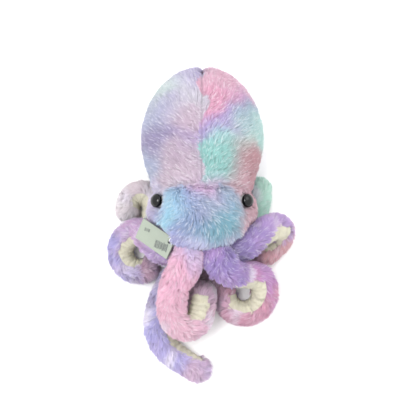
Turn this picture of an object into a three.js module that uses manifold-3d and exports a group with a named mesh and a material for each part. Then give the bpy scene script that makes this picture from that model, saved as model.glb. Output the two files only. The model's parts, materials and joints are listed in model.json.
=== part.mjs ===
// A plush octopus sewn from tie-dyed long-pile cloth, lying on its back on a flat surface, face up.
// Millimetres, +Z up. The mantle points along +Y and the arms along -Y. The origin is on the surface, under
// the middle of the toy's overall box. Left and right are the viewer's, looking down at the face, so left
// is -X.

import * as THREE from "three";
import { mergeVertices } from "three/addons/utils/BufferGeometryUtils.js";
import Module from "manifold-3d";

const wasm = await Module();
wasm.setup();

// ---------------------------------------------------------------- driving dimensions

const GAP = 0.3; // clear space between neighbouring pieces
const SKIN = 4; // backing cloth with its pile pressed flat, as one thickness

// The head and mantle are oval sections across the body's axis, which runs along Y at this x and height:
// [y, half width, rise to the face side, drop to the back]. The surface the toy lies on flattens the back.
const AXIS = { x: 3.5, z: 59 };
const BODY_SECTIONS = [
  [-35, 16, 11, 21],
  [-34, 19, 14, 24],
  [-27, 21, 16, 26],
  [-19, 27, 23, 31],
  [-10, 46, 50, 47],
  [4, 58, 61, 60],
  [18, 59, 60, 61],
  [33, 54, 53, 57],
  [48, 55, 53, 56],
  [68, 62, 59, 61],
  [92, 67, 63, 63],
  [118, 65, 62, 61],
  [144, 55, 53, 51],
  [163, 40, 39, 37],
  [175, 23, 23, 23],
  [180, 9, 9, 9],
  [181, 2, 2, 2],
];
const BODY_SIDES = 20;
const BODY_RINGS = 18;

const BASE_PANEL_Y = -31; // the round panel that closes the body between the arms ends here
const BROW_Y = 33; // seam between the head panels and the mantle
const MANTLE_SIDE_SEAM_Z = 52; // the mantle's side seams
const FACE_HALF_WIDTH = 35; // the middle face panel, between the two cheek seams
const CHEEK_LOW_Z = 48; // seam between each cheek and the back of the head

// A domed safety eye on a stem, and the washer pushed on to the stem inside the cheek.
const EYE = { out: 50, y: 19, z: 88, radius: 7.6, rise: 5, stem: 2, stemLength: 13 };
const EYE_FACING = [0.66, -0.05, 0.75];
const WASHER = { radius: 8.5, thickness: 2, depth: 7.5 };

const PELLET_BAG = { y: -2, z: 54, radius: 17, halfLength: 12 };

// The arms are sewn on in a ring about the body's axis.
const ROOT_RING = { y: -31, z: 54, radius: 38 };
const ARM_RADII = [[13.4], [13.8], [13.4], [13], [12.4], [11.6]]; // evenly spaced from root to tip
const ARM_STEP = 15; // spacing of the sections along an arm
const ARM_SIDES = 8;
const UNDERSIDE_SIDES = 1.5; // how many of those sides the smooth underside takes, each way from its middle

// The points of a level bend about a centre: radius, then the angles and heights it runs between.
function bend(x, y, radius, [startAngle, endAngle], [startHeight, endHeight]) {
  const count = Math.max(2, Math.ceil(Math.abs(endAngle - startAngle) / 40));
  return Array.from({ length: count + 1 }, (_, i) => {
    const angle = THREE.MathUtils.degToRad(THREE.MathUtils.lerp(startAngle, endAngle, i / count));
    const height = THREE.MathUtils.lerp(startHeight, endHeight, i / count);
    return [x + radius * Math.cos(angle), y + radius * Math.sin(angle), height];
  });
}

// Each arm starts at an angle round the root ring, from the face side and positive to the right, and its
// centre line then runs through these points. The underside faces down and inwards at the root. Between two
// shares of the arm's length it rolls over to the inner side of the curl (side 1 is the arm's own left, -1
// its right), where it is tipped up from level by tipUp degrees.
const ROLL = [0.1, 0.6];
const ARMS = [
  {
    name: "front_left", root: -22, side: 1, tipUp: 80, roll: [0.48, 0.86], colour: 0xe3b3cf,
    path: [[-15, -53, 82], [-25, -69, 67], [-29, -85, 57], ...bend(-14, -100, 15, [180, 360], [50, 38]),
      [3, -84, 38.5], [7, -69, 40.5]],
  },
  {
    name: "side_left", root: -67, side: 1, tipUp: 30, colour: 0xc7b4dc,
    path: [[-43, -27, 65], [-52, -20, 56], [-61, -13, 47], ...bend(-71, -29, 21, [90, 180], [38, 17]),
      ...bend(-71, -29, 20, [215, 325], [14, 12.5])],
  },
  {
    name: "back_left", root: -112, side: 1, tipUp: 25, colour: 0xd9dbe0,
    path: [[-43, -21, 27], [-53, -7, 17], [-56, 10, 13.8], ...bend(-71, 28, 15.5, [0, 180], [13.4, 12.6]),
      [-85, 14, 12.3]],
  },
  {
    name: "under_left", root: -158, side: 1, tipUp: 10, colour: 0xb9b2dd,
    path: [[-23, -50, 15.5], [-36, -70, 14.5], [-45, -93, 14.2], [-47, -117, 13.8], [-37, -138, 13.4],
      [-17, -153, 12.8], [8, -168, 12.4]],
  },
  {
    name: "under_middle", root: 158, side: 1, tipUp: 0, colour: 0xb07f9f,
    path: [[15, -50, 15], [5, -66, 14], [-5, -82, 13.6], [-9, -98, 13], [-8, -109, 12.4]],
  },
  {
    name: "back_right", root: 112, side: 1, tipUp: 10, colour: 0xa9d6cf,
    path: [[50, -21, 28], [59, -6, 17], [63, 10, 14], [68, 30, 13.3], [72, 48, 12.6], [73, 60, 12.2]],
  },
  {
    name: "side_right", root: 67, side: -1, tipUp: 50, colour: 0xc19fd6,
    path: [[51, -26, 67], [65, -17, 58], [78, -8, 50], [89, -3, 42], [95, -5, 32], [94, -12, 22],
      [86, -21, 15.5], [76, -29, 13.5], [67, -34, 12.4]],
  },
  {
    name: "front_right", root: 22, side: -1, tipUp: 40, colour: 0xcf9fcb,
    path: [[22, -50, 86], [34, -58, 71], [48, -59, 53], ...bend(52, -76, 22, [40, -60], [37, 16]),
      ...bend(52, -76, 22, [-95, -200], [14, 12.5])],
  },
];

// A folded card hangs on a loop of thread from the seam under the left cheek and lies over the arm below
// it. Its frame is the way it runs out from the loop, and the way its face looks.
const TAG = { length: 50, width: 24, leaf: 0.8, holeRadius: 2.4, holeInset: 5.5 };
const TAG_HOLE = new THREE.Vector3(-31, -27, 91);
const TAG_ALONG = new THREE.Vector3(-38, 28.6, -22).normalize();
const TAG_FACING = new THREE.Vector3(-0.15, -0.35, 0.92);
const LOOP = { anchor: new THREE.Vector3(-16.5, -16, 92), height: 6, thread: 0.6 };

// ---------------------------------------------------------------- solids

const up = new THREE.Vector3(0, 0, 1);

// Turns a closed three.js geometry into a solid: shared corners merged, collapsed triangles dropped.
function solid(geometry) {
  const plain = geometry.clone();
  plain.deleteAttribute("normal");
  plain.deleteAttribute("uv");
  const merged = mergeVertices(plain, 1e-4);
  const index = Array.from(merged.index.array);
  const triangles = [];
  for (let i = 0; i < index.length; i += 3) {
    const [a, b, c] = index.slice(i, i + 3);
    if (a !== b && b !== c && c !== a) triangles.push(a, b, c);
  }
  return new wasm.Manifold(new wasm.Mesh({
    numProp: 3,
    vertProperties: new Float32Array(merged.attributes.position.array),
    triVerts: new Uint32Array(triangles),
  }));
}

function geometryOf(manifold) {
  const mesh = manifold.getMesh();
  const geometry = new THREE.BufferGeometry();
  geometry.setAttribute("position", new THREE.BufferAttribute(new Float32Array(mesh.vertProperties), 3));
  geometry.setIndex(new THREE.BufferAttribute(new Uint32Array(mesh.triVerts), 1));
  return geometry;
}

// A skin over a row of rings, each a counter-clockwise list of points seen from the end it runs to.
function loft(rings) {
  const sides = rings[0].length;
  const points = rings.flat();
  const faces = [];
  for (let i = 0; i < rings.length - 1; i++) {
    for (let j = 0; j < sides; j++) {
      const here = i * sides + j;
      const next = i * sides + (j + 1) % sides;
      faces.push(here, next, next + sides, here, next + sides, here + sides);
    }
  }
  const last = (rings.length - 1) * sides;
  for (let j = 1; j < sides - 1; j++) {
    faces.push(0, j + 1, j, last, last + j, last + j + 1);
  }
  const geometry = new THREE.BufferGeometry();
  geometry.setFromPoints(points);
  geometry.setIndex(faces);
  return solid(geometry);
}

// A box between two corners, as a region to cut with.
function region(low, high) {
  const size = high.map((value, i) => value - low[i]);
  const box = new THREE.BoxGeometry(...size);
  box.translate(...low.map((value, i) => value + size[i] / 2));
  return solid(box);
}

// A solid without the slivers that a cut leaves beside it.
function largest(manifold) {
  return manifold.decompose().reduce((a, b) => (b.volume() > a.volume() ? b : a));
}

// Puts a shape that was made along +Z at a point, with +Z turned to a direction.
function placed(geometry, point, direction) {
  geometry.applyQuaternion(new THREE.Quaternion().setFromUnitVectors(up, direction));
  geometry.translate(point.x, point.y, point.z);
  return geometry;
}

// A cylinder whose low end is at the origin, running up +Z.
function rod(radius, length, sides) {
  const cylinder = new THREE.CylinderGeometry(radius, radius, length, sides);
  cylinder.rotateX(Math.PI / 2);
  cylinder.translate(0, 0, length / 2);
  return cylinder;
}

// Smooth values through evenly spaced rows of numbers, with t from 0 at the first row to 1 at the last.
function smooth(rows, t) {
  const place = Math.min(Math.max(t, 0), 1) * (rows.length - 1);
  const i = Math.min(Math.floor(place), rows.length - 2);
  const f = place - i;
  const row = (k) => rows[Math.min(Math.max(k, 0), rows.length - 1)];
  return rows[i].map((_, column) => {
    const [a, b, c, d] = [i - 1, i, i + 1, i + 2].map((k) => row(k)[column]);
    return b + 0.5 * f * (c - a + f * (2 * a - 5 * b + 4 * c - d + f * (3 * (b - c) + d - a)));
  });
}

const radians = THREE.MathUtils.degToRad;

// ---------------------------------------------------------------- group and materials

const group = new THREE.Group();

const LOOKS = {
  mantle: { color: 0xcfc4dd, roughness: 0.95, metalness: 0 },
  face: { color: 0x9cc9d6, roughness: 0.95, metalness: 0 },
  cheek: { color: 0xdcc3d6, roughness: 0.95, metalness: 0 },
  underside: { color: 0xe4e2c4, roughness: 0.9, metalness: 0 },
  filling: { color: 0xf4f4f2, roughness: 1, metalness: 0 },
  pellets: { color: 0xd8d4c8, roughness: 0.9, metalness: 0 },
  eye: { color: 0x101216, roughness: 0.08, metalness: 0 },
  washer: { color: 0xe8e8e6, roughness: 0.5, metalness: 0 },
  card: { color: 0xe2ecd9, roughness: 0.6, metalness: 0 },
  loop: { color: 0xf0f0f0, roughness: 0.35, metalness: 0 },
};

function add(name, manifold, look) {
  const mesh = new THREE.Mesh(geometryOf(manifold), new THREE.MeshStandardMaterial(look));
  mesh.name = name;
  group.add(mesh);
}

// ---------------------------------------------------------------- head and mantle

const FAR = 400; // past every face of the toy
const half = GAP / 2; // each piece's share of the gap beside it

// The body's surface, moved inwards by an inset and cut flat where it lies on the surface.
function bodySolid(inset) {
  const ends = [BODY_SECTIONS[0][0], BODY_SECTIONS.at(-1)[0]];
  const middle = (ends[0] + ends[1]) / 2;
  const shorter = 1 - 2 * inset / (ends[1] - ends[0]);
  const rings = [];
  for (let i = 0; i <= BODY_RINGS; i++) {
    const [y, halfWidth, rise, drop] = smooth(BODY_SECTIONS, i / BODY_RINGS);
    const ring = [];
    for (let j = 0; j < BODY_SIDES; j++) {
      const angle = 2 * Math.PI * j / BODY_SIDES;
      const depth = Math.cos(angle) > 0 ? rise : drop;
      ring.push(new THREE.Vector3(
        AXIS.x + Math.max(halfWidth - inset, 0.6) * Math.sin(angle),
        middle + (y - middle) * shorter,
        AXIS.z + Math.max(depth - inset, 0.6) * Math.cos(angle),
      ));
    }
    rings.push(ring);
  }
  return loft(rings).intersect(region([-FAR, -FAR, inset], [FAR, FAR, FAR]));
}

const shell = bodySolid(0).subtract(bodySolid(SKIN));

// The panels are the parts of the skin between these corners.
const seamX = AXIS.x;
const panels = {
  mantle_front_left: [[-FAR, BROW_Y + half, MANTLE_SIDE_SEAM_Z + half], [seamX - half, FAR, FAR]],
  mantle_front_right: [[seamX + half, BROW_Y + half, MANTLE_SIDE_SEAM_Z + half], [FAR, FAR, FAR]],
  mantle_back_left: [[-FAR, BROW_Y + half, -FAR], [seamX - half, FAR, MANTLE_SIDE_SEAM_Z - half]],
  mantle_back_right: [[seamX + half, BROW_Y + half, -FAR], [FAR, FAR, MANTLE_SIDE_SEAM_Z - half]],
  face_panel: [
    [seamX - FACE_HALF_WIDTH + half, BASE_PANEL_Y + half, CHEEK_LOW_Z + half],
    [seamX + FACE_HALF_WIDTH - half, BROW_Y - half, FAR],
  ],
  head_back: [[-FAR, BASE_PANEL_Y + half, -FAR], [FAR, BROW_Y - half, CHEEK_LOW_Z - half]],
  base_panel: [[-FAR, -FAR, -FAR], [FAR, BASE_PANEL_Y - half, FAR]],
};
const looksOfPanels = { face_panel: LOOKS.face, head_back: LOOKS.cheek, base_panel: LOOKS.underside };

for (const [name, [low, high]] of Object.entries(panels)) {
  add(name, shell.intersect(region(low, high)), looksOfPanels[name] ?? LOOKS.mantle);
}

// ---------------------------------------------------------------- eyes, with the cheeks they lock into

let bodyCore = bodySolid(SKIN + GAP);

// A dome whose flat side is the seat, as a squashed ball that is half sunk in the cheek.
function eyeBall(radius, rise, seat, facing) {
  const ball = new THREE.SphereGeometry(radius, 16, 10);
  ball.rotateX(Math.PI / 2);
  ball.scale(1, 1, rise / radius);
  return solid(placed(ball, seat, facing));
}

for (const [side, sign] of [["left", -1], ["right", 1]]) {
  const facing = new THREE.Vector3(sign * EYE_FACING[0], EYE_FACING[1], EYE_FACING[2]).normalize();
  const inwards = facing.clone().negate();
  const seat = new THREE.Vector3(AXIS.x + sign * EYE.out, EYE.y, EYE.z);
  const washerFront = seat.clone().addScaledVector(inwards, WASHER.depth);
  const roomFront = washerFront.clone().addScaledVector(facing, GAP);

  const stem = solid(placed(rod(EYE.stem, EYE.stemLength, 10), seat, inwards));
  const stemRoom = solid(placed(rod(EYE.stem + GAP, EYE.stemLength + GAP, 10), seat, inwards));
  const washer = solid(placed(rod(WASHER.radius, WASHER.thickness, 16), washerFront, inwards));
  const washerRoomRod = rod(WASHER.radius + GAP, WASHER.thickness + 2 * GAP, 16);
  const washerRoom = solid(placed(washerRoomRod, roomFront, inwards));
  const eyeRoom = eyeBall(EYE.radius + GAP, EYE.rise + GAP, seat, facing).add(stemRoom).add(washerRoom);

  const outer = [seamX + sign * FAR, BASE_PANEL_Y + half, CHEEK_LOW_Z + half];
  const inner = [seamX + sign * (FACE_HALF_WIDTH + half), BROW_Y - half, FAR];
  const low = outer.map((value, i) => Math.min(value, inner[i]));
  const high = outer.map((value, i) => Math.max(value, inner[i]));

  add(`cheek_${side}`, shell.intersect(region(low, high)).subtract(eyeRoom), LOOKS.cheek);
  add(`eye_${side}`, eyeBall(EYE.radius, EYE.rise, seat, facing).add(stem), LOOKS.eye);
  add(`eye_washer_${side}`, washer.subtract(stemRoom), LOOKS.washer);
  bodyCore = bodyCore.subtract(eyeRoom);
}

// ---------------------------------------------------------------- what the body is filled with

// A bag of pellets lies in the end of the body between the arms, and stuffing fills the rest.
function pelletBag(grow) {
  const bag = new THREE.SphereGeometry(1, 16, 10);
  bag.scale(PELLET_BAG.radius + grow, PELLET_BAG.halfLength + grow, PELLET_BAG.radius + grow);
  bag.translate(AXIS.x, PELLET_BAG.y, PELLET_BAG.z);
  return solid(bag);
}

const bagMouth = rod(PELLET_BAG.radius * 0.6, 60, 16);
const mouthStart = new THREE.Vector3(AXIS.x, PELLET_BAG.y, PELLET_BAG.z);
const bagRoom = pelletBag(GAP).add(solid(placed(bagMouth, mouthStart, new THREE.Vector3(0, -1, 0))));

add("pellet_bag", pelletBag(0), LOOKS.pellets);
add("body_stuffing", bodyCore.subtract(bagRoom), LOOKS.filling);

// ---------------------------------------------------------------- arms

function centreLine(arm) {
  const start = radians(arm.root);
  const root = [
    AXIS.x + ROOT_RING.radius * Math.sin(start),
    ROOT_RING.y,
    ROOT_RING.z + ROOT_RING.radius * Math.cos(start),
  ];
  const points = [root, ...arm.path].map((point) => new THREE.Vector3(...point));
  return new THREE.CatmullRomCurve3(points, false, "centripetal");
}

// Where the underside's middle is on a section: below at the root, on the inner side of the curl
// further out.
function undersideAngle(arm, share) {
  const rolled = THREE.MathUtils.smoothstep(share, ...(arm.roll ?? ROLL));
  const roll = THREE.MathUtils.lerp(-50, arm.tipUp, rolled);
  return radians(arm.side > 0 ? roll : 180 - roll);
}

// The sections along an arm: each one's radius, centre, the way it runs, the arm's own left, its upper
// side, and the angle its underside faces. The last is where the tip's ball is centred.
function sections(arm) {
  const curve = centreLine(arm);
  const length = curve.getLength();
  const last = length - ARM_RADII.at(-1)[0];
  const count = Math.round(last / ARM_STEP);
  return Array.from({ length: count + 1 }, (_, i) => {
    const share = last * i / count / length;
    const along = curve.getTangentAt(share);
    const upper = up.clone().addScaledVector(along, -up.dot(along)).normalize();
    const left = new THREE.Vector3().crossVectors(upper, along);
    const radius = smooth(ARM_RADII, share)[0];
    const under = undersideAngle(arm, share);
    return { radius, centre: curve.getPointAt(share), along, left, upper, under };
  });
}

// A point on a section, a number of sides round from the middle of its underside.
function onSection({ centre, left, upper, under }, radius, sides) {
  const angle = under + 2 * Math.PI * sides / ARM_SIDES;
  return centre.clone()
    .addScaledVector(left, radius * Math.cos(angle))
    .addScaledVector(upper, radius * Math.sin(angle));
}

const shifted = (frame, distance) => (
  { ...frame, centre: frame.centre.clone().addScaledVector(frame.along, distance) }
);

// A round-ended sausage along the arm, moved inwards by an inset. Its ends are half balls.
function sausage(frames, inset) {
  const circle = (frame, radius) => (
    Array.from({ length: ARM_SIDES }, (_, j) => onSection(frame, radius, j + 0.5))
  );
  const cap = (frame, direction) => [20, 55].map((degrees) => {
    const radius = frame.radius - inset;
    const out = direction * radius * Math.cos(radians(degrees));
    return circle(shifted(frame, out), radius * Math.sin(radians(degrees)));
  });
  return loft([
    ...cap(frames[0], -1),
    ...frames.map((frame) => circle(frame, frame.radius - inset)),
    ...cap(frames.at(-1), 1).toReversed(),
  ]);
}

// The wedge of the arm's sections that the underside takes, from its middle to just past its surface, made
// smaller all round by half of a gap.
function undersideRegion(frames, gap) {
  const used = frames.slice(1);
  used[0] = shifted(used[0], gap / 2);
  used.push(shifted(used.pop(), -gap / 2));
  return loft(used.map((frame, i) => {
    const narrowing = i === used.length - 1 ? 0.6 : 1;
    const spread = UNDERSIDE_SIDES * narrowing - gap / 2 / frame.radius * ARM_SIDES / (2 * Math.PI);
    const arc = [-1, -1 / 3, 1 / 3, 1].map((k) => onSection(frame, frame.radius + 0.6, k * spread));
    return [onSection(frame, 1 + gap, 0), ...arc];
  }));
}

for (const arm of ARMS) {
  const frames = sections(arm);
  const stuffing = sausage(frames, SKIN + GAP);
  const skin = sausage(frames, 0).subtract(sausage(frames, SKIN)).subtract(stuffing);
  const sleeve = largest(skin.subtract(undersideRegion(frames, 0)));
  const underside = largest(skin.intersect(undersideRegion(frames, 2 * GAP)));
  add(`arm_${arm.name}_sleeve`, sleeve, { color: arm.colour, roughness: 0.95, metalness: 0 });
  add(`arm_${arm.name}_underside`, underside, LOOKS.underside);
  add(`arm_${arm.name}_stuffing`, stuffing, LOOKS.filling);
}

// ---------------------------------------------------------------- hang tag

const facing = TAG_FACING.clone().addScaledVector(TAG_ALONG, -TAG_FACING.dot(TAG_ALONG)).normalize();
const across = new THREE.Vector3().crossVectors(facing, TAG_ALONG);
const toWorld = new THREE.Matrix4().makeBasis(TAG_ALONG, across, facing).setPosition(TAG_HOLE);

// One leaf of the card, at a height over the card's middle layer. The hole is at the corner by the loop.
function leaf(low) {
  const card = new THREE.BoxGeometry(TAG.length, TAG.width, TAG.leaf);
  card.translate(TAG.length / 2 - TAG.holeInset, TAG.width / 2 - TAG.holeInset, low + TAG.leaf / 2);
  const hole = rod(TAG.holeRadius, 4 * TAG.leaf, 16);
  hole.translate(0, 0, low - TAG.leaf);
  return solid(card.applyMatrix4(toWorld)).subtract(solid(hole.applyMatrix4(toWorld)));
}

add("hang_tag_front_leaf", leaf(half), LOOKS.card);
add("hang_tag_back_leaf", leaf(-half - TAG.leaf), LOOKS.card);

// The thread goes through the hole, and both strands run to the seam.
const reach = LOOP.anchor.clone().sub(TAG_HOLE);
const loopCurve = new THREE.CatmullRomCurve3(Array.from({ length: 10 }, (_, i) => {
  const angle = 2 * Math.PI * i / 10;
  return TAG_HOLE.clone()
    .addScaledVector(reach, (1 - Math.cos(angle)) / 2)
    .addScaledVector(facing, LOOP.height * Math.sin(angle));
}), true);
add("hang_tag_loop", solid(new THREE.TubeGeometry(loopCurve, 20, LOOP.thread, 6, true)), LOOKS.loop);

// ---------------------------------------------------------------- origin

const box = new THREE.Box3().setFromObject(group);
const origin = box.getCenter(new THREE.Vector3()).setZ(box.min.z);
for (const mesh of group.children) mesh.geometry.translate(-origin.x, -origin.y, -origin.z);

export default group;
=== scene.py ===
"""A tie-dyed, long-pile plush octopus on its back, with cream undersides, domed eyes and a hang tag."""

import json
import math

import bpy
import numpy as np
from mathutils import Matrix, Vector
from mathutils.bvhtree import BVHTree
from mathutils.kdtree import KDTree

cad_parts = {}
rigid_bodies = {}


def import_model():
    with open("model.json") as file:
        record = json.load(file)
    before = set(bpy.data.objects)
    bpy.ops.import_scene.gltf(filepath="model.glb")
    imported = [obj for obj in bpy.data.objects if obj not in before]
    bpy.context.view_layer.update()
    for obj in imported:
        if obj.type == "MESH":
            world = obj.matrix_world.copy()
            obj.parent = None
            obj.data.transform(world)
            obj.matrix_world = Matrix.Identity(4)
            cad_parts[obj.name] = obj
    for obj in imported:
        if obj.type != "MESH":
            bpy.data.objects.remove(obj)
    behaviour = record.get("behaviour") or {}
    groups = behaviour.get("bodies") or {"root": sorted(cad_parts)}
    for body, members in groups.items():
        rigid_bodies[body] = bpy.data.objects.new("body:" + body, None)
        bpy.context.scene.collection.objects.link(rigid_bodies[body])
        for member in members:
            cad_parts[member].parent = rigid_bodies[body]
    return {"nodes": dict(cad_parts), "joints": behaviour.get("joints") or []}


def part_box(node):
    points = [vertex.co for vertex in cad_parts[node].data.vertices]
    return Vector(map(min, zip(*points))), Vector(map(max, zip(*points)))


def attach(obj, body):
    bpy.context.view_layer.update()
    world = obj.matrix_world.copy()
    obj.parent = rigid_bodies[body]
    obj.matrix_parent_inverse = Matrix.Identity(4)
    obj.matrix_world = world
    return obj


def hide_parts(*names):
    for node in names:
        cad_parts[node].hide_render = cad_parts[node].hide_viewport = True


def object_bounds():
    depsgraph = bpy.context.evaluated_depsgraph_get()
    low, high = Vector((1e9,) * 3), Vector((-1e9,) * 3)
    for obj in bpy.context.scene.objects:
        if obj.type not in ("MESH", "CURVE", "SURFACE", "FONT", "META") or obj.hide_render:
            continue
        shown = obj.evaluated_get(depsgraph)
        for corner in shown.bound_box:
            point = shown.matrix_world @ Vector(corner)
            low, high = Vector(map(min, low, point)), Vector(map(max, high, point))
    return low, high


for default_object in list(bpy.data.objects):
    bpy.data.objects.remove(default_object)
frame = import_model()
cad_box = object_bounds()

MM = 0.001
UP = np.array([0.0, 0.0, 1.0])
FLOOR_CLEARANCE = 0.4 * MM
random = np.random.default_rng(11)

ARMS = [
    "front_left", "side_left", "back_left", "under_left",
    "under_middle", "back_right", "side_right", "front_right",
]
BODY_PANELS = [
    "mantle_front_left", "mantle_front_right", "mantle_back_left", "mantle_back_right",
    "face_panel", "cheek_left", "cheek_right", "head_back", "base_panel",
]
JOINTS = {joint["child"]: joint for joint in frame["joints"]}


# ---------------------------------------------------------------- points and colours

def unit(v):
    return v / np.maximum(np.linalg.norm(v, axis=-1, keepdims=True), 1e-12)


def fading(distance, width):
    """1 at no distance, and down to almost 0 at twice the width."""
    return np.exp(-(distance / width) ** 2)


def rise(values, low, high):
    """0 up to a low value and 1 from a high one, with a smooth rise between them."""
    t = np.clip((values - low) / (high - low), 0, 1)
    return t * t * (3 - 2 * t)


def off_floor(points):
    """Lifts points that are in the floor just clear of it."""
    points[..., 2] = np.maximum(points[..., 2], FLOOR_CLEARANCE)


def linear(code):
    """A colour such as 0xff8800 as linear red, green and blue."""
    srgb = np.array([code >> 16 & 255, code >> 8 & 255, code & 255]) / 255
    return np.where(srgb <= 0.04045, srgb / 12.92, ((srgb + 0.055) / 1.055) ** 2.4)


WASH = 0.22  # how far the pile's dyes are washed out towards white


def dyed(code):
    """A dye's colour on the pile."""
    return linear(code) * (1 - WASH) + WASH


def ripple(points, wavelength, seed):
    """Smooth values of about -1 to 1 that wander through space."""
    draw = np.random.default_rng(seed)
    total = np.zeros(len(points))
    for _ in range(5):
        direction = unit(draw.normal(size=3))
        frequency = 2 * math.pi / (wavelength * draw.uniform(0.7, 1.5))
        total += np.sin(points @ direction * frequency + draw.uniform(0, 2 * math.pi))
    return total / 2.6


# ---------------------------------------------------------------- reading the CAD

def cad_mesh(names):
    """The joined vertices and faces of CAD nodes."""
    points, faces = [], []
    for name in names:
        mesh = frame["nodes"][name].data
        start = len(points)
        points += [tuple(vertex.co) for vertex in mesh.vertices]
        faces += [[start + i for i in polygon.vertices] for polygon in mesh.polygons]
    return points, faces


def cad_tree(*names):
    return BVHTree.FromPolygons(*cad_mesh(names))


def nearest_names(points, names):
    """Which of the named CAD nodes each point is closest to."""
    distances = []
    for name in names:
        tree = cad_tree(name)
        distances.append([tree.find_nearest(Vector(p))[3] for p in points])
    return np.array(names)[np.argmin(distances, axis=0)]


def tag_axes():
    """The front leaf's middle, the unit directions along, across and out of it, and its half size."""
    points = np.array(cad_mesh(["hang_tag_front_leaf"])[0])
    middle = (points.max(axis=0) + points.min(axis=0)) / 2
    _, _, axes = np.linalg.svd(points - points.mean(axis=0), full_matrices=False)
    along, _, out = axes
    along = along if along[0] < 0 else -along
    out = out if out[2] > 0 else -out
    across = np.cross(out, along)
    local = (points - middle) @ np.array([along, across, out]).T
    middle = middle + ((local.max(axis=0) + local.min(axis=0)) / 2) @ np.array([along, across, out])
    return middle, along, across, out, (local.max(axis=0) - local.min(axis=0)) / 2


TAG_MIDDLE, TAG_ALONG, TAG_ACROSS, TAG_OUT, TAG_HALF = tag_axes()
TAG_UNDER = 2.6 * MM  # from the front leaf's middle down to clear space behind the card


def hides_tag(points):
    """Which points are in front of the hang tag, or cut through its card."""
    place = (points - TAG_MIDDLE) @ np.array([TAG_ALONG, TAG_ACROSS, TAG_OUT]).T
    beside = (np.abs(place[..., :2]) > TAG_HALF[:2]).any(axis=-1)
    return ~beside & (place[..., 2] > -TAG_UNDER)


# ---------------------------------------------------------------- surfaces as grids

class Grid:
    """Rows of points round a soft form. Rows close on themselves; a face lies between four points."""

    def __init__(self, points):
        self.points = points
        rows, sides = points.shape[:2]
        along = np.gradient(points, axis=0)
        around = np.roll(points, -1, axis=1) - np.roll(points, 1, axis=1)
        self.normals = unit(np.cross(around, along))
        row, side = np.meshgrid(np.arange(rows - 1), np.arange(sides), indexing="ij")
        here, beside = row * sides + side, row * sides + (side + 1) % sides
        self.corners = np.stack([here, beside, beside + sides, here + sides], axis=-1).reshape(-1, 4)

    def flat(self, values):
        return values.reshape(-1, values.shape[-1]) if values.ndim == 3 else values.reshape(-1)

    def centres(self):
        return self.flat(self.points)[self.corners].mean(axis=1)

    def areas(self, faces):
        corners = self.flat(self.points)[self.corners[faces]]
        diagonals = np.cross(corners[:, 2] - corners[:, 0], corners[:, 3] - corners[:, 1])
        return np.linalg.norm(diagonals, axis=1) / 2


def blurred(values, times, axis, closed):
    """Values smoothed along one axis of a grid."""
    for _ in range(times):
        ahead, behind = np.roll(values, -1, axis), np.roll(values, 1, axis)
        if not closed:
            ahead[-1] = values[-1]
            behind[0] = values[0]
        values = (ahead + 2 * values + behind) / 4
    return values


def scatter(grid, faces, count, weight):
    """Random roots on some faces of a grid: a way to read grid values at them, their points and normals."""
    area = grid.areas(faces) * weight
    picked = random.choice(len(faces), size=count, p=area / area.sum())
    u, v = random.random((2, count, 1))
    mix = np.stack([(1 - u) * (1 - v), u * (1 - v), u * v, (1 - u) * v], axis=1)
    corner_ids = grid.corners[faces[picked]]

    def at(values):
        flat = grid.flat(values)[corner_ids]
        return (flat * (mix if flat.ndim == 3 else mix[..., 0])).sum(axis=1)

    return at, at(grid.points), unit(at(grid.normals))


# ---------------------------------------------------------------- pile

LEANS = (34, 60, 78)  # degrees that the three lengths of a bent blade lean from the skin's normal
LEAN_SPREAD = 7  # degrees
ROOT_DEPTH = 0.6 * MM  # from the skin in to a blade's root
TWIST = 0.6  # radians that a blade's width may turn out of the skin
BLADE_WIDTHS = (0.8, 1.0, 0.7)  # shares of a blade's width from its root up, before its point
PAINTED_ROOT_SHADE = (0.95, 0.95, 0.99, 0.99, 1.02, 1.02, 1.04)  # painted shade at a blade's seven points: darker at its root, down among the others, and lighter at its tip
ROUNDING = 0.35  # how far a blade's normals turn to its sides, as if it were round


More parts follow.
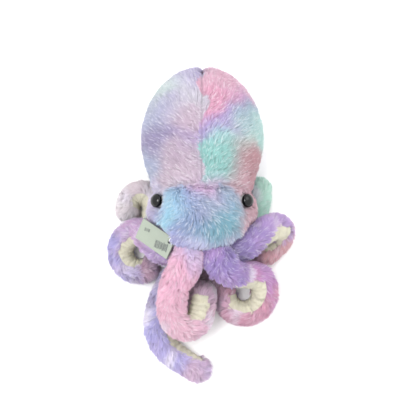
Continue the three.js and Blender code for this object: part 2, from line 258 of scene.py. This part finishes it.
def pile(roots, normals, combing, lengths, widths, colours, leaders, clump_pull):
    """Bent pointed blades of pile: points, normals, colours and faces, seven points to a blade.

    A share of the blades are leaders, and the blades round a leader are pulled into a clump with it.
    """
    count = len(roots)
    combing = unit(combing - normals * (combing * normals).sum(axis=1, keepdims=True))
    leans = np.radians(LEANS) + np.radians(random.normal(0, LEAN_SPREAD, (count, 1)))
    steps = [np.cos(a)[:, None] * normals + np.sin(a)[:, None] * combing for a in leans.T]
    spine = [roots - ROOT_DEPTH * normals]
    for step in steps:
        spine.append(spine[-1] + step * (lengths / 3)[:, None])

    seeds = random.permutation(count)[: max(4, int(count * leaders))]
    tree = KDTree(len(seeds))
    for i, seed in enumerate(seeds):
        tree.insert(roots[seed], i)
    tree.balance()
    clump = seeds[[tree.find(root)[1] for root in roots]]
    for k, pull in ((2, 0.5 * clump_pull), (3, clump_pull)):
        spine[k] = spine[k] + (spine[k][clump] - spine[k]) * pull

    turn = random.uniform(-TWIST, TWIST, (count, 1))
    side = unit(np.cross(normals, combing)) * np.cos(turn) + normals * np.sin(turn)
    kept = ~hides_tag(np.stack(spine, axis=1)).any(axis=1)
    spine = [points[kept] for points in spine]
    side, normals, widths, colours = side[kept], normals[kept], widths[kept], colours[kept]
    edges = []
    for middle, share in zip(spine, BLADE_WIDTHS):
        half = side * (widths * share / 2)[:, None]
        edges += [middle - half, middle + half]
    points = np.stack(edges + [spine[3]], axis=1)
    off_floor(points)

    sideways = np.array([-1, 1, -1, 1, -1, 1, 0])[None, :, None]
    soft = unit(normals[:, None] + ROUNDING * side[:, None] * sideways)
    # painted shade: each blade is darker at its root and lighter towards its tip
    painted_shade_tint = colours[:, None] * np.array(PAINTED_ROOT_SHADE)[None, :, None]
    first = 7 * np.arange(len(points))[:, None]
    quads = np.concatenate([first + [0, 2, 3, 1], first + [2, 4, 5, 3]])
    return points.reshape(-1, 3), soft.reshape(-1, 3), painted_shade_tint.reshape(-1, 3), quads, first + [4, 6, 5]


FROST = 0xf2f0f4  # the palest fibres
PAINTED_SKIN_SHADE = 0.92  # painted shade: the skin down between the blades is a little darker than they are


def varied(colours, roots, patch, seed, frosted_share, frost):
    """Colours of blades with each a little lighter or darker, in patches too, and some of them frosted."""
    count = len(roots)
    light = 1 + 0.03 * random.normal(size=count) + 0.03 * ripple(roots, patch, seed)
    colours = colours * light[:, None]
    frosted = random.random(count) < frosted_share
    colours[frosted] = colours[frosted] * (1 - frost) + frost * dyed(FROST)
    return colours


def coat(name, grid, faces, skin_colours, blades):
    """One piece: some faces of a grid as its skin, with its blades of pile."""
    used, index = np.unique(grid.corners[faces], return_inverse=True)
    index = index.reshape(-1, 4)
    points, normals, colours, quads, tips = blades
    shift = len(used)
    all_points = np.concatenate([grid.flat(grid.points)[used], points])
    all_normals = np.concatenate([grid.flat(grid.normals)[used], normals])
    # the skin's colour carries painted shade, as it lies down between the blades
    all_colours = np.concatenate([skin_colours[used] * PAINTED_SKIN_SHADE, colours])
    polygons = index.tolist() + (quads + shift).tolist() + (tips + shift).tolist()

    mesh = bpy.data.meshes.new(name)
    mesh.from_pydata(all_points.tolist(), [], polygons)
    mesh.shade_smooth()
    mesh.normals_split_custom_set_from_vertices(all_normals.tolist())
    dye = mesh.color_attributes.new("dye", "FLOAT_COLOR", "POINT")
    rgba = np.concatenate([np.clip(all_colours, 0, 1), np.ones((len(all_colours), 1))], axis=1)
    dye.data.foreach_set("color", rgba.astype(np.float32).ravel())
    mesh.materials.append(DYED_PILE)
    piece = bpy.data.objects.new(name, mesh)
    bpy.context.scene.collection.objects.link(piece)
    return piece


# ---------------------------------------------------------------- materials

def material(name, base=(0.8, 0.8, 0.8), roughness=0.5, sheen=0.0, specular=0.5):
    """A plain material, with its node tree, shader and links at hand."""
    made = bpy.data.materials.new(name)
    made.use_nodes = True
    shader = made.node_tree.nodes["Principled BSDF"]
    shader.inputs["Base Color"].default_value = (*base, 1)
    shader.inputs["Roughness"].default_value = roughness
    shader.inputs["Sheen Weight"].default_value = sheen
    shader.inputs["Specular IOR Level"].default_value = specular
    return made, made.node_tree.nodes, made.node_tree.links, shader


def mottled(nodes, links, source, scale, strength, target):
    """Feeds a colour to a socket with a fine noise of lighter and darker specks over it."""
    place = nodes.new("ShaderNodeTexCoord")
    noise = nodes.new("ShaderNodeTexNoise")
    noise.inputs["Scale"].default_value = scale
    ramp = nodes.new("ShaderNodeMapRange")
    ramp.inputs["To Min"].default_value = 1 - strength
    ramp.inputs["To Max"].default_value = 1 + strength
    mix = nodes.new("ShaderNodeVectorMath")
    mix.operation = "MULTIPLY"
    links.new(place.outputs["Object"], noise.inputs["Vector"])
    links.new(noise.outputs["Fac"], ramp.inputs["Value"])
    links.new(source, mix.inputs[0])
    links.new(ramp.outputs["Result"], mix.inputs[1])
    links.new(mix.outputs["Vector"], target)
    return mix.outputs["Vector"]


SHOWS_THROUGH = 0.42  # how much of the light on a blade of pile comes from its far side


def dyed_pile():
    """Fine fibres: they show their dye, and some of the light behind them shows through."""
    made, nodes, links, shader = material("dyed_pile", roughness=0.85, sheen=0.25, specular=0.15)
    dye = nodes.new("ShaderNodeAttribute")
    dye.attribute_name = "dye"
    colour = mottled(nodes, links, dye.outputs["Color"], 260, 0.07, shader.inputs["Base Color"])
    through = nodes.new("ShaderNodeBsdfTranslucent")
    links.new(colour, through.inputs["Color"])
    mix = nodes.new("ShaderNodeMixShader")
    mix.inputs["Fac"].default_value = SHOWS_THROUGH
    links.new(shader.outputs["BSDF"], mix.inputs[1])
    links.new(through.outputs["BSDF"], mix.inputs[2])
    links.new(mix.outputs["Shader"], nodes["Material Output"].inputs["Surface"])
    return made


def speckled(name, code, scale, strength, **looks):
    made, nodes, links, shader = material(name, **looks)
    plain = nodes.new("ShaderNodeRGB")
    plain.outputs[0].default_value = (*linear(code), 1)
    mottled(nodes, links, plain.outputs[0], scale, strength, shader.inputs["Base Color"])
    return made


DYED_PILE = dyed_pile()


# ---------------------------------------------------------------- the body's form

seam_x = (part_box("mantle_front_left")[1].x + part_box("mantle_front_right")[0].x) / 2
brow_y = (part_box("mantle_front_left")[0].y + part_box("face_panel")[1].y) / 2
face_left_x, face_right_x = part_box("face_panel")[0].x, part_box("face_panel")[1].x
axis_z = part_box("mantle_front_left")[1].z / 2
body_low_y, body_high_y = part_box("base_panel")[0].y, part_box("mantle_front_left")[1].y

BODY_ROWS, BODY_SIDES = 104, 128
PROUD = 0.8 * MM  # from the CAD's skin out to the visible one
LOW_INSET, HIGH_INSET = 30 * MM, 56 * MM  # from the body's two ends in to the ends of its spine
LOW_END, HIGH_END = 0.16, 0.72  # the shares of the rows at which the spine starts and stops
FAN = 89  # degrees that the rays fan out over at each end of the spine
OUTSIDE = 0.4  # metres from the spine, well clear of the toy
GAP_REACH = 50 * MM  # for a ray that meets no panel


def body_grid():
    """Casts rays out from a spine inside the body to its CAD panels, then smooths away their facets."""
    panels = cad_tree(*BODY_PANELS)
    spine_low, spine_high = body_low_y + LOW_INSET, body_high_y - HIGH_INSET
    share = np.linspace(0, 1, BODY_ROWS)
    past_spine = np.clip((share - HIGH_END) / (1 - HIGH_END), 0, 1)
    tilt = np.radians(FAN * np.where(share < LOW_END, share / LOW_END - 1, past_spine))
    on_spine = np.clip((share - LOW_END) / (HIGH_END - LOW_END), 0, 1)
    spine_y = spine_low + (spine_high - spine_low) * on_spine
    angle = 2 * math.pi * np.arange(BODY_SIDES) / BODY_SIDES
    directions = np.empty((BODY_ROWS, BODY_SIDES, 3))
    directions[..., 0] = np.cos(tilt)[:, None] * np.sin(angle)
    directions[..., 1] = np.sin(tilt)[:, None]
    directions[..., 2] = np.cos(tilt)[:, None] * np.cos(angle)
    starts = np.zeros_like(directions)
    starts[...] = [seam_x, 0, axis_z]
    starts[..., 1] = spine_y[:, None]
    reach = np.full((BODY_ROWS, BODY_SIDES), np.nan)
    for i in range(BODY_ROWS):
        for j in range(BODY_SIDES):
            outside = Vector(starts[i, j] + directions[i, j] * OUTSIDE)
            hit = panels.ray_cast(outside, Vector(-directions[i, j]))
            reach[i, j] = OUTSIDE - hit[3] if hit[0] else np.nan
    beside = np.nan_to_num(np.roll(reach, 1, axis=1), nan=GAP_REACH)
    reach = np.where(np.isnan(reach), beside, reach)
    reach = blurred(reach, 10, 1, closed=True)
    reach = blurred(reach, 5, 0, closed=False) + PROUD
    points = starts + directions * reach[..., None]
    return Grid(points)


EYE_POINTS = [np.array(sum(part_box(name), Vector()) / 2) for name in ("eye_left", "eye_right")]
EYE_MOUND = 3.6 * MM  # how far the skin stands out round the eyes

# How deep each seam draws the skin in, and how wide its valley is to each side.
CENTRE_SEAM = (2.4 * MM, 3.2 * MM)
BROW_SEAM = (2.6 * MM, 4.0 * MM)
CHEEK_SEAM = (0.8 * MM, 3.0 * MM)


def near_eyes(points, spread):
    """1 at the eyes, and fading to 0 about twice the spread away from them."""
    return sum(fading(np.linalg.norm(points - eye, axis=-1), spread) for eye in EYE_POINTS)


def seam_dips(points, normals):
    """How far the skin is drawn in by the seams on the face side. Round the eyes it stands out instead."""
    from_brow = points[..., 1] - brow_y
    front = np.clip(normals[..., 2] * 2 + 0.4, 0, 1)
    on_mantle = from_brow > 0
    centre = fading(points[..., 0] - seam_x, CENTRE_SEAM[1]) * front * on_mantle
    brow = fading(from_brow, BROW_SEAM[1])
    cheeks = sum(fading(points[..., 0] - x, CHEEK_SEAM[1]) for x in (face_left_x, face_right_x))
    cheeks = cheeks * front * ~on_mantle
    dips = CENTRE_SEAM[0] * centre + BROW_SEAM[0] * brow + CHEEK_SEAM[0] * cheeks
    return dips * (1 - near_eyes(points, 14 * MM)) - EYE_MOUND * near_eyes(points, 11 * MM)


CHIN_DROP = 20 * MM
CHIN_LIFT = 2 * MM


def hang_chin(points):
    """Lets the plump face hang out over the roots of the arms in front."""
    low = rise(-points[..., 1], -14 * MM, 10 * MM)
    front = rise(points[..., 2], axis_z + 20 * MM, axis_z + 40 * MM)
    points[..., 1] -= CHIN_DROP * low * front
    points[..., 2] += CHIN_LIFT * low * front


body = body_grid()
hang_chin(body.points)
body = Grid(body.points)
body.points = body.points - body.normals * seam_dips(body.points, body.normals)[..., None]
off_floor(body.points)
body = Grid(body.points)

# ---------------------------------------------------------------- dye on the body

# Patches of dye on the face side: across from the middle seam and along the body, both in millimetres,
# how far they spread, how strongly they show, and their colour.
PATCHES = [
    (-52, 144, 17, 1.0, 0xb8cfc8), (-8, 158, 13, 1.0, 0xb5abd0), (-36, 118, 15, 1.0, 0xada6c8),
    (-14, 122, 13, 1.1, 0xc4c0cd), (-16, 98, 11, 1.0, 0xc0a4b8), (-44, 83, 13, 1.5, 0x8271a8),
    (-14, 77, 12, 1.0, 0xa88ebc), (-26, 54, 15, 1.0, 0xbba2b6), (-58, 56, 12, 1.1, 0x9da9c8),
    (-20, 36, 11, 1.0, 0xc8b4c6), (-48, 104, 12, 0.9, 0xa0aac8), (-30, 150, 10, 0.9, 0xccd6d9),
    (20, 142, 17, 1.2, 0xd8a4bd), (13, 120, 14, 1.4, 0xd98db2), (34, 124, 10, 1.2, 0xc07cbc),
    (6, 86, 9, 1.2, 0x9f86c6), (22, 96, 10, 1.2, 0xa487cc), (42, 112, 12, 1.5, 0x8896bc),
    (58, 100, 16, 1.1, 0xa9d6cf), (18, 56, 16, 1.4, 0x76c2bc), (20, 78, 10, 1.0, 0x9ccfd2),
    (44, 72, 12, 1.0, 0xbcb8b6), (48, 54, 14, 2.0, 0xbb7080), (40, 34, 10, 0.8, 0xcfa3b6),
    (4, 18, 13, 1.3, 0xcfa8d0), (-30, 0, 13, 1.5, 0x98d6e8), (-10, -10, 13, 1.2, 0x6e84bc),
    (17, -14, 16, 1.6, 0x45a0b4), (28, 8, 10, 0.9, 0x7fb0d0), (-18, 10, 10, 0.9, 0x8c9cd2),
    (-50, 12, 10, 1.2, 0xc9bcd8), (-50, -2, 8, 1.1, 0xa88fc6), (50, 4, 13, 1.4, 0xcb97a6),
    (6, -44, 14, 1.5, 0xc8c4e6), (-28, -34, 10, 1.2, 0xa2a2d4), (34, -34, 10, 1.0, 0xb4b0d0),
]


MANTLE_FROM = 40  # millimetres along the body: the patches past this are the mantle's
BACK_TURN = 150  # millimetres: a patch this far along the front would be at 0 on the back
PLAIN_DYE = 0xc9bedb  # where no patch reaches
ACROSS_SEAM = 0.04  # how much of a mantle patch crosses the middle seam


def dye_at(points, normals):
    """The dye's colour at points of the body. The back has the same patches, turned about."""
    across = (points[:, 0] - seam_x) / MM
    along = points[:, 1] / MM
    behind = normals[:, 2] < -0.15
    across = np.where(behind, -across * 0.9 + 6, across)
    along = np.where(behind, BACK_TURN - along, along)
    across = across + 5 * ripple(points, 42 * MM, 3)
    along = along + 6 * ripple(points, 36 * MM, 4)
    side_of_seam = np.sign(across)
    total = np.full((len(points), 3), 0.02) * dyed(PLAIN_DYE)
    weight = np.full(len(points), 0.02)
    for x, y, spread, strength, code in PATCHES:
        share = strength * np.exp(-((across - x) ** 2 + (along - y) ** 2) / (2 * (0.8 * spread) ** 2))
        if y > MANTLE_FROM:
            share = share * np.where(side_of_seam * x < 0, ACROSS_SEAM, 1)
        total += share[:, None] * dyed(code)
        weight += share
    return total / weight[:, None]


# ---------------------------------------------------------------- body pieces

BLADES_PER_AREA = 0.95 / MM ** 2
FALL = 0.6  # how much the pile falls towards the floor, next to the cloth's own nap
SPARSEST = 0.35  # the share of the blades that are left where the skin faces the floor
body_colours = dye_at(body.flat(body.points), body.flat(body.normals))
face_centres = body.centres()
face_panels = nearest_names(face_centres, BODY_PANELS)

EYE_FRINGE = (0.7, 1.0)  # the length of the pile at the inner side of the left eye and the right one
BARE_ROUND_EYE = 7.4  # millimetres from an eye's middle


def body_blades(faces):
    """Pile on some faces of the body: parted at the seams, tangled at the brow, cropped round the eyes."""
    facing = body.flat(body.normals)[body.corners[faces]].mean(axis=1)[:, 2]
    weight = np.clip(SPARSEST + 1.1 * (facing + 0.55), SPARSEST, 1)
    count = int((body.areas(faces) * weight).sum() * BLADES_PER_AREA)
    _, roots, normals = scatter(body, faces, count, weight)

    sway = 0.75 * ripple(roots, 46 * MM, 21) + 0.35 * ripple(roots, 15 * MM, 22)
    sway += random.normal(0, 0.22, count)
    dx, dy = roots[:, 0] - seam_x, roots[:, 1] - brow_y
    sway += 1.3 * ripple(roots, 12 * MM, 23) * fading(dy, 9 * MM)
    front = np.clip(normals[:, 2] * 2, 0, 1)
    part = fading(dx, 9 * MM) * front * (dy > 0)
    nap = np.where(dy > 0, 1, -1)
    combing = np.stack([np.sin(sway), nap * np.cos(sway), np.full(count, -FALL)], axis=1)
    combing[:, 0] += dx / (50 * MM) + np.sign(dx) * part

    lengths = random.uniform(7, 10, count) * MM
    lengths *= 1 + 0.35 * rise(-roots[:, 1], 0, 14 * MM) * front
    near_seam = np.maximum(part, 0.5 * fading(dy, 4 * MM))
    lengths *= 1 - 0.42 * near_seam
    lengths *= np.where(roots[:, 1] < brow_y, 0.88, 1)
    keep = np.ones(count, bool)
    for eye, reach in zip(EYE_POINTS, EYE_FRINGE):
        from_eye = roots - eye
        away = np.linalg.norm(from_eye, axis=1) / MM
        inwards = unit(np.array([seam_x, eye[1] - 20 * MM, eye[2]]) - eye)
        inner = rise(from_eye @ inwards, 2 * MM, 6 * MM)
        near = inner * rise(-away, -18, -13)
        combing -= from_eye / MM * (0.25 * near)[:, None]
        lengths *= np.maximum(np.clip((away - 4) / 9, 0.45, 1), reach * near)
        keep &= away > BARE_ROUND_EYE
    colours = varied(dye_at(roots, normals), roots, 9 * MM, 31, 0.16, 0.45)
    widths = random.uniform(0.8, 1.3, count) * MM
    rows = (roots, normals, combing, lengths, widths, colours)
    return pile(*(row[keep] for row in rows), 0.04, 0.25)


for panel in BODY_PANELS:
    faces = np.flatnonzero(face_panels == panel)
    piece = coat(panel + "_fur", body, faces, body_colours, body_blades(faces))
    inside = {"mantle_front_left": ["body_stuffing"], "base_panel": ["pellet_bag"]}.get(panel, [])
    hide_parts(panel, *inside)
    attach(piece, "body")


# ---------------------------------------------------------------- arms

ARM_SIDES = 26
ROW_SPACING = 2.6 * MM
SKIN_AND_GAP = 4.3 * MM  # from an arm's stuffing out to the outside of its sleeve
ROOT_RADIUS = 13.4 * MM
ROOT_SLACK = 0.7 * MM  # past the radius of the stuffing's rounded root
END_RINGS = 2  # the rings of the stuffing's rounded tip, which the arm's own cap stands for
CAP_ANGLES = (12, 32, 52, 72)  # degrees from the arm's line to the rings of its rounded ends


def arm_spine(name):
    """The centres and radii of an arm's sections, from its sewn root to its tip, read off its stuffing."""
    points, faces = cad_mesh([f"arm_{name}_stuffing"])
    points = np.array(points)
    places = np.round(points / (0.02 * MM))
    _, first, welded = np.unique(places, axis=0, return_index=True, return_inverse=True)
    points = points[first]
    welded = welded.reshape(-1)
    links = [set() for _ in points]
    for face in faces:
        ids = [int(welded[i]) for i in face]
        for a, b in zip(ids, ids[1:] + ids[:1]):
            links[a].add(b)
            links[b].add(a)
    pivot = np.array(JOINTS[f"arm_{name}"]["pos_m"])
    reach = np.linalg.norm(points - pivot, axis=1)
    seen = set(np.flatnonzero(reach < ROOT_RADIUS - SKIN_AND_GAP + ROOT_SLACK).tolist())
    centres, radii = [pivot], [ROOT_RADIUS]
    ring = {n for i in seen for n in links[i]} - seen
    while ring:
        seen |= ring
        members = points[sorted(ring)]
        centres.append(members.mean(axis=0))
        radii.append(np.linalg.norm(members - centres[-1], axis=1).mean() + SKIN_AND_GAP)
        ring = {n for i in ring for n in links[i]} - seen
    return np.array(centres[:-END_RINGS]), np.array(radii[:-END_RINGS])


def running_length(points):
    """How far along a line of points each one is."""
    return np.concatenate([[0], np.cumsum(np.linalg.norm(np.diff(points, axis=0), axis=1))])


def resampled(rows, spacing):
    """A smooth curve through rows of position and radius, at even steps along its length."""
    padded = np.concatenate([[2 * rows[0] - rows[1]], rows, [2 * rows[-1] - rows[-2]]])
    fine = []
    for a, b, c, d in zip(padded, padded[1:], padded[2:], padded[3:]):
        bend, twist = 2 * a - 5 * b + 4 * c - d, 3 * (b - c) + d - a
        for f in np.linspace(0, 1, 16, endpoint=False):
            fine.append(b + 0.5 * f * (c - a + f * (bend + f * twist)))
    fine = np.array(fine + [rows[-1]])
    length = running_length(fine[:, :3])
    steps = np.linspace(0, length[-1], max(8, round(length[-1] / spacing)))
    return np.stack([np.interp(steps, length, column) for column in fine.T], axis=1)


def arm_grid(name):
    """A round-ended tube along an arm, with the way the arm runs at each row."""
    centres, radii = arm_spine(name)
    rows = resampled(np.column_stack([centres, radii]), ROW_SPACING)
    middle, radius = rows[:, :3], rows[:, 3] + PROUD
    along = unit(np.gradient(middle, axis=0))

    def cap(end, way, angle):
        past = along[end] * radius[end] * math.cos(angle)
        return middle[end] + way * past, radius[end] * math.sin(angle), along[end]

    angles = np.radians(CAP_ANGLES)
    start_cap = [cap(0, -1, angle) for angle in angles]
    end_cap = [cap(-1, 1, angle) for angle in angles[::-1]]
    sections = start_cap + list(zip(middle, radius, along)) + end_cap
    middle, radius, along = (np.array([section[k] for section in sections]) for k in range(3))
    upper = unit(UP - along * along[:, 2:])
    left = np.cross(upper, along)
    angle = 2 * math.pi * np.arange(ARM_SIDES) / ARM_SIDES
    cosine, sine = np.cos(angle)[None, :, None], np.sin(angle)[None, :, None]
    ring = left[:, None] * cosine + upper[:, None] * sine
    points = middle[:, None] + ring * radius[:, None, None]
    share = np.linspace(0, 1, len(middle))
    return Grid(points), along, share


def toned(share, tones):
    """Colours that run through a list of tones along an arm."""
    stops = np.linspace(0, 1, len(tones))
    table = np.array([dyed(code) for code in tones])
    return np.stack([np.interp(share, stops, column) for column in table.T], axis=1)


# Tones from each arm's root to its tip.
TONES = {
    "front_left": [0xc4b0d8, 0xe8b2cf, 0xebb4ce, 0xe4b0c8, 0xe0b4c8, 0xd8b0ca, 0xd0aac8],
    "side_left": [0xa98bc8, 0xb892cc, 0xc294c4, 0xb79cc8, 0xa9a0dc, 0xb8a4d4, 0xc79cb8],
    "back_left": [0xd5d3e2, 0xd9dbe0, 0xc3d8d2, 0xd9c9d2, 0xdccdd4, 0xe2dde0],
    "under_left": [0xa792bd, 0xb49fc2, 0xb3addd, 0xb0a8e0, 0xb9a9dc, 0xcba9c8],
    # the under_middle arm's own magenta dye, darkened with painted shade where it lies under the front arms
    "under_middle": [0x8a5f86, 0x94658a, 0x9a6a8e, 0xa07596],
    "back_right": [0xa9d6cf, 0xa9d6c6, 0xa5d3c4, 0xb2d9cb],
    "side_right": [0x7c5cb0, 0x8c68bc, 0xa880c8, 0xbc94cc, 0xd79aa0, 0xcc96b8],
    "front_right": [0x8062ba, 0x9068c0, 0xb684c8, 0xc276be, 0xcf86a8, 0xd29ab8, 0xb9a4c4],
}
PALE = 0xe9e2ee  # where an arm's dye didn't take
CREAM = 0xe9e6d3
CREAM_SKIN = 1.1  # the underside's skin is this much paler than its pile
UNDERSIDE_PLEAT = 7 * MM
PLEAT_HEIGHT = 2.6 * MM
PLEAT_DEPTH = 2.2 * MM  # from the arm's round form in to the bottom of a pleat


def arm_dye(name, points, share):
    wander = 0.10 * ripple(points, 30 * MM, 41) + 0.04 * ripple(points, 12 * MM, 42)
    colours = toned(np.clip(share + wander, 0, 1), TONES[name])
    shift = 0.5 + 0.5 * ripple(points, 24 * MM, 43)
    pale = np.clip(shift - 0.72, 0, 1)[:, None] * 1.6
    return colours * (1 - pale) + dyed(PALE) * pale


def arm_blades(name, grid, faces, along, share, short):
    """Pile along an arm: long on the sleeve, and cropped on the underside."""
    count = max(60, int(grid.areas(faces).sum() * BLADES_PER_AREA * (0.8 if short else 1.0)))
    at, roots, normals = scatter(grid, faces, count, np.ones(len(faces)))
    sides = grid.points.shape[1]
    runs = unit(at(np.repeat(along[:, None], sides, axis=1)))
    places = at(np.repeat(share[:, None], sides, axis=1))
    sway = 0.55 * ripple(roots, 26 * MM, 51) + random.normal(0, 0.25, count)
    across = np.cross(normals, runs)
    combing = 0.6 * runs * np.cos(sway)[:, None] + across * np.sin(sway)[:, None] - FALL * UP
    shortest, longest = (1.6, 2.6) if short else (6.5, 9.5)
    lengths = random.uniform(shortest, longest, count) * MM
    under_chin = rise(roots[:, 1], -46 * MM, -32 * MM) * rise(roots[:, 2], 80 * MM, 95 * MM)
    lengths *= 1 - 0.7 * under_chin
    lengths *= np.where(roots[:, 2] < 4 * MM, 0.6, 1)
    colours = np.tile(linear(CREAM), (count, 1)) if short else arm_dye(name, roots, places)
    colours = varied(colours, roots, 8 * MM, 52, 0 if short else 0.14, 0.4)
    widths = random.uniform(0.7, 1.2, count) * MM
    return pile(roots, normals, combing, lengths, widths, colours, 0.05, 0.4)


def gathered(grid, faces):
    """The grid with pleats across some of its faces."""
    under = np.zeros(len(grid.flat(grid.points)))
    np.add.at(under, grid.corners[faces].ravel(), 0.25)
    under = under.reshape(grid.points.shape[:2])
    run = running_length(grid.points.mean(axis=1))
    waves = np.abs(np.sin(math.pi * run / UNDERSIDE_PLEAT))
    pleats = (waves * PLEAT_HEIGHT - PLEAT_DEPTH)[:, None]
    points = grid.points + grid.normals * (under * pleats)[..., None]
    off_floor(points)
    return Grid(points)


for name in ARMS:
    grid, along, share = arm_grid(name)
    sleeve, underside = f"arm_{name}_sleeve", f"arm_{name}_underside"
    sorts = nearest_names(grid.centres(), [sleeve, underside])
    grid = gathered(grid, sorts == underside)
    flat_share = np.repeat(share[:, None], ARM_SIDES, axis=1).ravel()
    sleeve_colours = arm_dye(name, grid.flat(grid.points), flat_share)
    cream = np.tile(linear(CREAM) * CREAM_SKIN, (len(flat_share), 1))
    for kind, colours, short in ((sleeve, sleeve_colours, False), (underside, cream, True)):
        faces = np.flatnonzero(sorts == kind)
        blades = arm_blades(name, grid, faces, along, share, short)
        piece = coat(kind + "_fur", grid, faces, colours, blades)
        stands_for = [kind] if short else [kind, f"arm_{name}_stuffing"]
        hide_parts(*stands_for)
        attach(piece, f"arm_{name}")


# ---------------------------------------------------------------- eyes

BLACK_GLASS = speckled("black_glass", 0x030406, 90, 0.3, roughness=0.06, specular=0.4)
WASHER_PLASTIC = speckled("washer_plastic", 0xe8e8e6, 300, 0.05, roughness=0.5)


def eye_dome(side):
    """A smooth dome over the CAD eye, square to the line from the washer inside the cheek."""
    washer = np.array(cad_mesh([f"eye_washer_{side}"])[0])
    eye = np.array(cad_mesh([f"eye_{side}"])[0])
    centre = washer.mean(axis=0)
    apex = eye[np.argmax(np.linalg.norm(eye - centre, axis=1))]
    facing = unit(apex - centre)
    off_axis = eye - centre
    off_axis = np.linalg.norm(off_axis - np.outer(off_axis @ facing, facing), axis=1)
    radius = off_axis.max()
    seat_height = ((eye - centre) @ facing)[np.argmax(off_axis)]
    height = np.linalg.norm(apex - centre) - seat_height
    bpy.ops.mesh.primitive_uv_sphere_add(segments=48, ring_count=24, radius=1)
    dome = bpy.context.object
    dome.name = f"eye_{side}_dome"
    turn = Vector(UP).rotation_difference(Vector(facing)).to_matrix().to_4x4()
    place = Matrix.Translation(Vector(centre + facing * seat_height)) @ turn
    dome.data.transform(place @ Matrix.Diagonal((radius, radius, height, 1)))
    dome.data.shade_smooth()
    dome.data.materials.append(BLACK_GLASS)
    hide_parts(f"eye_{side}")
    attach(dome, "body")


for side in ("left", "right"):
    eye_dome(side)
    washer = frame["nodes"][f"eye_washer_{side}"]
    washer.data.materials.clear()
    washer.data.materials.append(WASHER_PLASTIC)

# ---------------------------------------------------------------- hang tag

CARD = speckled("tag_card", 0x969e92, 120, 0.04, roughness=0.6, specular=0.25)
THREAD = speckled("tag_thread", 0xf2f2f0, 900, 0.1, roughness=0.6)
INK = speckled("tag_ink", 0x4a4d52, 700, 0.25, roughness=0.5)

for leaf in ("hang_tag_front_leaf", "hang_tag_back_leaf"):
    frame["nodes"][leaf].data.materials.clear()
    frame["nodes"][leaf].data.materials.append(CARD)
loop = frame["nodes"]["hang_tag_loop"]
loop.data.materials.clear()
loop.data.materials.append(THREAD)


# Where each block of bars is on the card, its width and height, all as shares of the card's half length
# and half width, and how many bars it has.
BAR_BLOCKS = [(0.5, -0.35, 0.3, 0.25, 7), (-0.4, 0.3, 0.7, 0.6, 18)]
INK_HEIGHT = 0.05 * MM


def print_bars():
    """Plain bars in two blocks, in place of the printing on the card."""
    half = TAG_HALF
    basis = Matrix((TAG_ALONG, TAG_ACROSS, TAG_OUT)).transposed().to_4x4()
    place = Matrix.Translation(Vector(TAG_MIDDLE + TAG_OUT * (half[2] + INK_HEIGHT))) @ basis
    corners, faces = [], []
    draw = np.random.default_rng(5)
    for block_x, block_y, width, height, bars in BAR_BLOCKS:
        for k in range(bars):
            left = half[0] * (block_x + width * (k / bars - 0.5))
            right = left + half[0] * width / bars * draw.uniform(0.25, 0.7)
            y = half[1] * block_y
            reach = half[1] * height / 2 * draw.uniform(0.75, 1)
            low, high = y - reach, y + reach
            start = len(corners)
            corners += [(left, low, 0), (right, low, 0), (right, high, 0), (left, high, 0)]
            faces.append([start, start + 1, start + 2, start + 3])
    mesh = bpy.data.meshes.new("hang_tag_bars")
    mesh.from_pydata(corners, [], faces)
    mesh.transform(place)
    mesh.materials.append(INK)
    print_on_card = bpy.data.objects.new("hang_tag_bars", mesh)
    bpy.context.scene.collection.objects.link(print_on_card)
    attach(print_on_card, "hang_tag_leaf")


print_bars()

# ---------------------------------------------------------------- floor, light and camera

FLOOR = speckled("pale_floor", 0xf4f4f4, 40, 0.01, roughness=0.9)
bpy.ops.mesh.primitive_plane_add(size=6)
floor = bpy.context.object
floor.name = "floor"
floor.data.materials.append(FLOOR)

world = bpy.data.worlds.new("studio")
world.use_nodes = True
world.node_tree.nodes["Background"].inputs["Color"].default_value = (1, 1, 1, 1)
world.node_tree.nodes["Background"].inputs["Strength"].default_value = 1.3
bpy.context.scene.world = world


LIT_PLACE = Vector((0, 0, 0.06))  # metres: where the lamps point


def softbox(name, position, size, power):
    light = bpy.data.lights.new(name, "AREA")
    light.size = size
    light.energy = power
    lamp = bpy.data.objects.new(name, light)
    bpy.context.scene.collection.objects.link(lamp)
    lamp.location = position
    lamp.rotation_euler = (LIT_PLACE - Vector(position)).to_track_quat("-Z", "Y").to_euler()


softbox("key_light", (-0.45, -0.1, 1.5), 0.55, 13)
softbox("fill_light", (0.8, 0.6, 1.2), 1.0, 6)

middle = (Vector(cad_box[0]) + Vector(cad_box[1])) / 2
CAMERA_DISTANCE = 0.78
CAMERA_ELEVATION = math.radians(78)
AIM_OFFSET = Vector((8.5, 19.4, -31)) * MM  # from the toy's middle to the place the picture centres on
camera_data = bpy.data.cameras.new("camera")
camera_data.lens = 57
camera_data.sensor_width = 36
camera = bpy.data.objects.new("camera", camera_data)
bpy.context.scene.collection.objects.link(camera)
aim = middle + AIM_OFFSET
view_direction = Vector((0, math.cos(CAMERA_ELEVATION), -math.sin(CAMERA_ELEVATION)))
camera.location = aim - view_direction * CAMERA_DISTANCE
camera.rotation_euler = view_direction.to_track_quat("-Z", "Y").to_euler()
bpy.context.scene.camera = camera
bpy.context.scene.view_settings.view_transform = "Standard"
